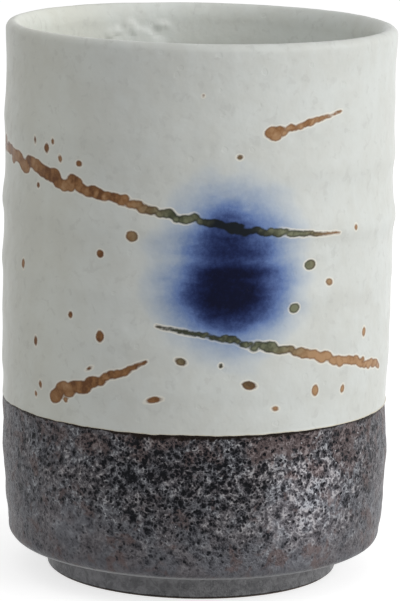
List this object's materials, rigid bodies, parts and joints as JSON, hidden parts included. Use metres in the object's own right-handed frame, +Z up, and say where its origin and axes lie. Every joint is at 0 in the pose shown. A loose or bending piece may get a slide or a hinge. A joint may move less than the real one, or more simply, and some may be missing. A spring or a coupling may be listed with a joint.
{
  "type": "yunomi tea cup",
  "caption": "Tall handleless stoneware tea cup on a turned foot ring, white glaze over a dark pitted iron band.",
  "frame": {"origin": "middle of the standing face of the foot ring", "axes": "+Z up along the axis that the cup was turned on; +Y away from the viewer of the decorated front"},
  "size_m": [0.0706, 0.0706, 0.0993],
  "materials": {
    "clay": "bare fired stoneware, matt and fine grained",
    "white_glaze": "satin white glaze with soft mottling",
    "liner_glaze": "satin white glaze, a little thicker and greener where it pools",
    "iron_glaze": "pitted metallic charcoal iron glaze"
  },
  "bodies": {
    "root": {"clay_body": "clay", "foot_ring": "clay", "liner_glaze": "liner_glaze", "white_glaze": "white_glaze", "iron_glaze": "iron_glaze", "recess_glaze": "iron_glaze"}
  },
  "joints": []
}
